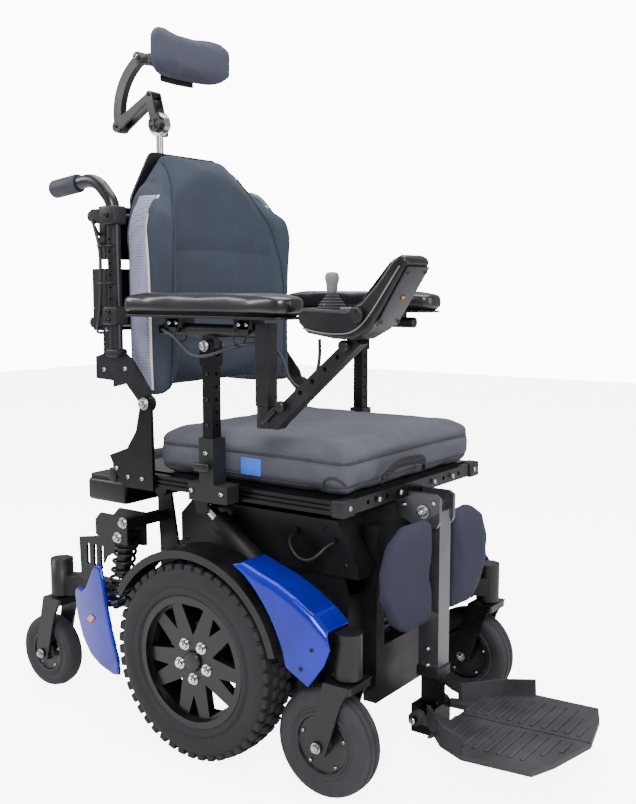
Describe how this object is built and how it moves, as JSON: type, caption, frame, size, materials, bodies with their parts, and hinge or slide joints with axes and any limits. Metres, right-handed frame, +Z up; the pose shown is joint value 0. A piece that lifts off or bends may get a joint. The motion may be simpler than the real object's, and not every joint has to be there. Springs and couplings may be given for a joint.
{
  "type": "power wheelchair",
  "caption": "Mid-wheel drive power wheelchair with tilting seat, reclining back, headrest, padded arms, joystick and elevating leg rest.",
  "frame": {"origin": "on the floor, under the middle of the chair's width and length", "axes": "+Z up, -Y towards the footplates (the chair's front), +X towards the sitter's left"},
  "size_m": [0.6, 1.1639, 1.336],
  "materials": {
    "frame_black": "satin",
    "rail_black": "gloss",
    "gunmetal": "satin",
    "cast_black": "cast",
    "rim_black": "satin",
    "satin_tube": "satin",
    "bright_steel": "bright",
    "cover_black": "satin",
    "case_grey": "matte",
    "foot_plastic": "textured",
    "blue_shroud": "metallic",
    "tyre_black": "matte",
    "grip_rubber": "matte",
    "cable_black": "matte",
    "pad_vinyl": "gloss",
    "seat_fabric": "woven",
    "back_fabric": "stretch",
    "head_fabric": "woven",
    "calf_fabric": "neoprene"
  },
  "bodies": {
    "base": {"base_frame": "frame_black", "batteries": "case_grey", "base_cover": "cover_black", "drive_motors": "cast_black", "fenders": "cover_black", "base_cable": "cable_black"},
    "tilt_actuator": {"tilt_actuator": "cast_black"},
    "tilt_rod": {"tilt_rod": "bright_steel"},
    "seat": {"seat_frame": "rail_black", "seat_cushion": "seat_fabric", "power_module": "cover_black", "arm_receivers": "cast_black", "leg_housing": "gunmetal"},
    "back": {"back_canes": "satin_tube", "push_grips": "grip_rubber", "back_shell": "cover_black", "back_cushion": "back_fabric"},
    "headrest_post": {"headrest_post": "bright_steel"},
    "headrest_lower": {"headrest_lower_link": "frame_black"},
    "headrest_upper": {"headrest_upper_link": "frame_black"},
    "headrest_pad": {"headrest_pad": "head_fabric"},
    "joystick": {"joystick_link": "frame_black", "joystick_module": "cover_black"},
    "gimbal": {"joystick_gimbal": "bright_steel"},
    "stick": {"joystick_stick": "grip_rubber"},
    "speed_dial": {"speed_dial": "grip_rubber"},
    "leg": {"leg_tube": "gunmetal", "calf_pads": "calf_fabric"},
    "leg_slider": {"leg_slider": "rail_black"},
    "footplate_left": {"footplate_left": "foot_plastic"},
    "footplate_right": {"footplate_right": "foot_plastic"},
    "wheel_left": {"rim_left": "rim_black", "tyre_left": "tyre_black"},
    "front_arm_left": {"front_arm_left": "frame_black", "front_shroud_left": "blue_shroud"},
    "rear_arm_left": {"rear_arm_left": "frame_black"},
    "shock_body_left": {"shock_body_left": "bright_steel"},
    "shock_rod_left": {"shock_rod_left": "bright_steel"},
    "caster_front_left": {"caster_fork_front_left": "frame_black"},
    "caster_wheel_front_left": {"caster_wheel_front_left": "tyre_black"},
    "caster_rear_left": {"caster_fork_rear_left": "frame_black"},
    "caster_wheel_rear_left": {"caster_wheel_rear_left": "tyre_black"},
    "arm_post_left": {"arm_post_left": "rail_black"},
    "arm_left": {"arm_tube_left": "frame_black", "arm_pad_left": "pad_vinyl"},
    "wheel_right": {"rim_right": "rim_black", "tyre_right": "tyre_black"},
    "front_arm_right": {"front_arm_right": "frame_black", "front_shroud_right": "blue_shroud"},
    "rear_arm_right": {"rear_arm_right": "frame_black"},
    "shock_body_right": {"shock_body_right": "bright_steel"},
    "shock_rod_right": {"shock_rod_right": "bright_steel"},
    "caster_front_right": {"caster_fork_front_right": "frame_black"},
    "caster_wheel_front_right": {"caster_wheel_front_right": "tyre_black"},
    "caster_rear_right": {"caster_fork_rear_right": "frame_black"},
    "caster_wheel_rear_right": {"caster_wheel_rear_right": "tyre_black"},
    "arm_post_right": {"arm_post_right": "rail_black"},
    "arm_right": {"arm_tube_right": "frame_black", "arm_pad_right": "pad_vinyl", "joystick_cable": "cable_black"}
  },
  "joints": [
    {"name": "wheel_left_spin", "type": "hinge", "parent": "base", "child": "wheel_left", "pos_m": [0.2625, 0.036, 0.178], "axis": [1, 0, 0], "continuous": true},
    {"name": "front_arm_left_swing", "type": "hinge", "parent": "base", "child": "front_arm_left", "pos_m": [0.18, -0.069, 0.24], "axis": [-1, 0, 0], "range_deg": [0, 8], "stiffness_Nm_per_rad": 200, "springref_deg": -28.65},
    {"name": "rear_arm_left_swing", "type": "hinge", "parent": "base", "child": "rear_arm_left", "pos_m": [0.18, 0.141, 0.215], "axis": [1, 0, 0], "range_deg": [0, 8], "stiffness_Nm_per_rad": 200, "springref_deg": -28.65},
    {"name": "shock_left_pivot", "type": "hinge", "parent": "base", "child": "shock_body_left", "pos_m": [0.23, 0.251, 0.362], "axis": [1, 0, 0], "range_deg": [0, 0.8]},
    {"name": "shock_left_travel", "type": "slide", "parent": "shock_body_left", "child": "shock_rod_left", "axis": [0, -0.2154, 0.9765], "range_m": [0, 0.0205]},
    {"name": "caster_front_left_swivel", "type": "hinge", "parent": "front_arm_left", "child": "caster_front_left", "pos_m": [0.25, -0.269, 0.24], "axis": [0, 0, 1], "continuous": true},
    {"name": "caster_front_left_roll", "type": "hinge", "parent": "caster_front_left", "child": "caster_wheel_front_left", "pos_m": [0.25, -0.231, 0.092], "axis": [1, 0, 0], "continuous": true},
    {"name": "caster_rear_left_swivel", "type": "hinge", "parent": "rear_arm_left", "child": "caster_rear_left", "pos_m": [0.205, 0.472, 0.24], "axis": [0, 0, 1], "continuous": true},
    {"name": "caster_rear_left_roll", "type": "hinge", "parent": "caster_rear_left", "child": "caster_wheel_rear_left", "pos_m": [0.205, 0.507, 0.075], "axis": [1, 0, 0], "continuous": true},
    {"name": "arm_left_height", "type": "slide", "parent": "seat", "child": "arm_post_left", "axis": [0, 0, 1], "range_m": [0, 0.06]},
    {"name": "arm_left_angle", "type": "hinge", "parent": "arm_post_left", "child": "arm_left", "pos_m": [0.256, 0.041, 0.732], "axis": [-1, 0, 0], "range_deg": [0, 20]},
    {"name": "wheel_right_spin", "type": "hinge", "parent": "base", "child": "wheel_right", "pos_m": [-0.2625, 0.036, 0.178], "axis": [1, 0, 0], "continuous": true},
    {"name": "front_arm_right_swing", "type": "hinge", "parent": "base", "child": "front_arm_right", "pos_m": [-0.18, -0.069, 0.24], "axis": [-1, 0, 0], "range_deg": [0, 8], "stiffness_Nm_per_rad": 200, "springref_deg": -28.65},
    {"name": "rear_arm_right_swing", "type": "hinge", "parent": "base", "child": "rear_arm_right", "pos_m": [-0.18, 0.141, 0.215], "axis": [1, 0, 0], "range_deg": [0, 8], "stiffness_Nm_per_rad": 200, "springref_deg": -28.65},
    {"name": "shock_right_pivot", "type": "hinge", "parent": "base", "child": "shock_body_right", "pos_m": [-0.23, 0.251, 0.362], "axis": [1, 0, 0], "range_deg": [0, 0.8]},
    {"name": "shock_right_travel", "type": "slide", "parent": "shock_body_right", "child": "shock_rod_right", "axis": [0, -0.2154, 0.9765], "range_m": [0, 0.0205]},
    {"name": "caster_front_right_swivel", "type": "hinge", "parent": "front_arm_right", "child": "caster_front_right", "pos_m": [-0.25, -0.269, 0.24], "axis": [0, 0, 1], "continuous": true},
    {"name": "caster_front_right_roll", "type": "hinge", "parent": "caster_front_right", "child": "caster_wheel_front_right", "pos_m": [-0.25, -0.231, 0.092], "axis": [1, 0, 0], "continuous": true},
    {"name": "caster_rear_right_swivel", "type": "hinge", "parent": "rear_arm_right", "child": "caster_rear_right", "pos_m": [-0.205, 0.472, 0.24], "axis": [0, 0, 1], "continuous": true},
    {"name": "caster_rear_right_roll", "type": "hinge", "parent": "caster_rear_right", "child": "caster_wheel_rear_right", "pos_m": [-0.205, 0.507, 0.075], "axis": [1, 0, 0], "continuous": true},
    {"name": "arm_right_height", "type": "slide", "parent": "seat", "child": "arm_post_right", "axis": [0, 0, 1], "range_m": [0, 0.06]},
    {"name": "arm_right_angle", "type": "hinge", "parent": "arm_post_right", "child": "arm_right", "pos_m": [-0.256, 0.011, 0.732], "axis": [-1, 0, 0], "range_deg": [0, 20]},
    {"name": "seat_tilt", "type": "hinge", "parent": "base", "child": "seat", "pos_m": [0, 0.236, 0.445], "axis": [-1, 0, 0], "range_deg": [0, 50]},
    {"name": "tilt_actuator_pivot", "type": "hinge", "parent": "base", "child": "tilt_actuator", "pos_m": [0, -0.069, 0.3], "axis": [1, 0, 0], "range_deg": [0, 12]},
    {"name": "tilt_extend", "type": "slide", "parent": "tilt_actuator", "child": "tilt_rod", "axis": [0, 0.7855, 0.6189], "range_m": [0, 0.11]},
    {"name": "back_recline", "type": "hinge", "parent": "seat", "child": "back", "pos_m": [0, 0.185, 0.619], "axis": [-1, 0, 0], "range_deg": [0, 30]},
    {"name": "headrest_height", "type": "slide", "parent": "back", "child": "headrest_post", "axis": [0, 0, 1], "range_m": [0, 0.08]},
    {"name": "headrest_post_hinge", "type": "hinge", "parent": "headrest_post", "child": "headrest_lower", "pos_m": [0, 0.373, 1.164], "axis": [1, 0, 0], "range_deg": [-20, 20]},
    {"name": "headrest_link_hinge", "type": "hinge", "parent": "headrest_lower", "child": "headrest_upper", "pos_m": [0, 0.486, 1.168], "axis": [1, 0, 0], "range_deg": [-20, 20]},
    {"name": "headrest_tilt", "type": "hinge", "parent": "headrest_upper", "child": "headrest_pad", "pos_m": [0, 0.421, 1.302], "axis": [1, 0, 0], "range_deg": [-20, 20]},
    {"name": "joystick_swing", "type": "hinge", "parent": "arm_right", "child": "joystick", "pos_m": [-0.256, -0.109, 0.64], "axis": [0, 0, -1], "range_deg": [0, 90]},
    {"name": "gimbal_pitch", "type": "hinge", "parent": "joystick", "child": "gimbal", "pos_m": [-0.256, -0.24, 0.804], "axis": [1, 0, 0], "range_deg": [-15, 15], "stiffness_Nm_per_rad": 0.25},
    {"name": "stick_roll", "type": "hinge", "parent": "gimbal", "child": "stick", "pos_m": [-0.256, -0.24, 0.804], "axis": [0, 1, 0], "range_deg": [-15, 15], "stiffness_Nm_per_rad": 0.25},
    {"name": "speed_dial_turn", "type": "hinge", "parent": "joystick", "child": "speed_dial", "pos_m": [-0.29, -0.31, 0.79], "axis": [1, 0, 0], "range_deg": [-135, 135]},
    {"name": "leg_elevate", "type": "hinge", "parent": "seat", "child": "leg", "pos_m": [0, -0.279, 0.44], "axis": [-1, 0, 0], "range_deg": [0, 70]},
    {"name": "leg_extend", "type": "slide", "parent": "leg", "child": "leg_slider", "axis": [0, 0, -1], "range_m": [0, 0.085]},
    {"name": "footplate_left_flip", "type": "hinge", "parent": "leg_slider", "child": "footplate_left", "pos_m": [0.06, -0.279, 0.069], "axis": [-1, 0, 0], "range_deg": [0, 60]},
    {"name": "footplate_right_flip", "type": "hinge", "parent": "leg_slider", "child": "footplate_right", "pos_m": [-0.06, -0.279, 0.069], "axis": [-1, 0, 0], "range_deg": [0, 60]}
  ],
  "couplings": [
    {"joint": "shock_left_pivot", "follows": "rear_arm_left_swing", "ratio": 0.08},
    {"joint": "shock_left_travel", "follows": "rear_arm_left_swing", "m_per_rad": 0.1404},
    {"joint": "shock_right_pivot", "follows": "rear_arm_right_swing", "ratio": 0.08},
    {"joint": "shock_right_travel", "follows": "rear_arm_right_swing", "m_per_rad": 0.1404},
    {"joint": "tilt_actuator_pivot", "follows": "seat_tilt", "ratio": 0.236},
    {"joint": "tilt_extend", "follows": "seat_tilt", "m_per_rad": 0.1222},
    {"joint": "leg_extend", "follows": "leg_elevate", "m_per_rad": 0.0655}
  ]
}
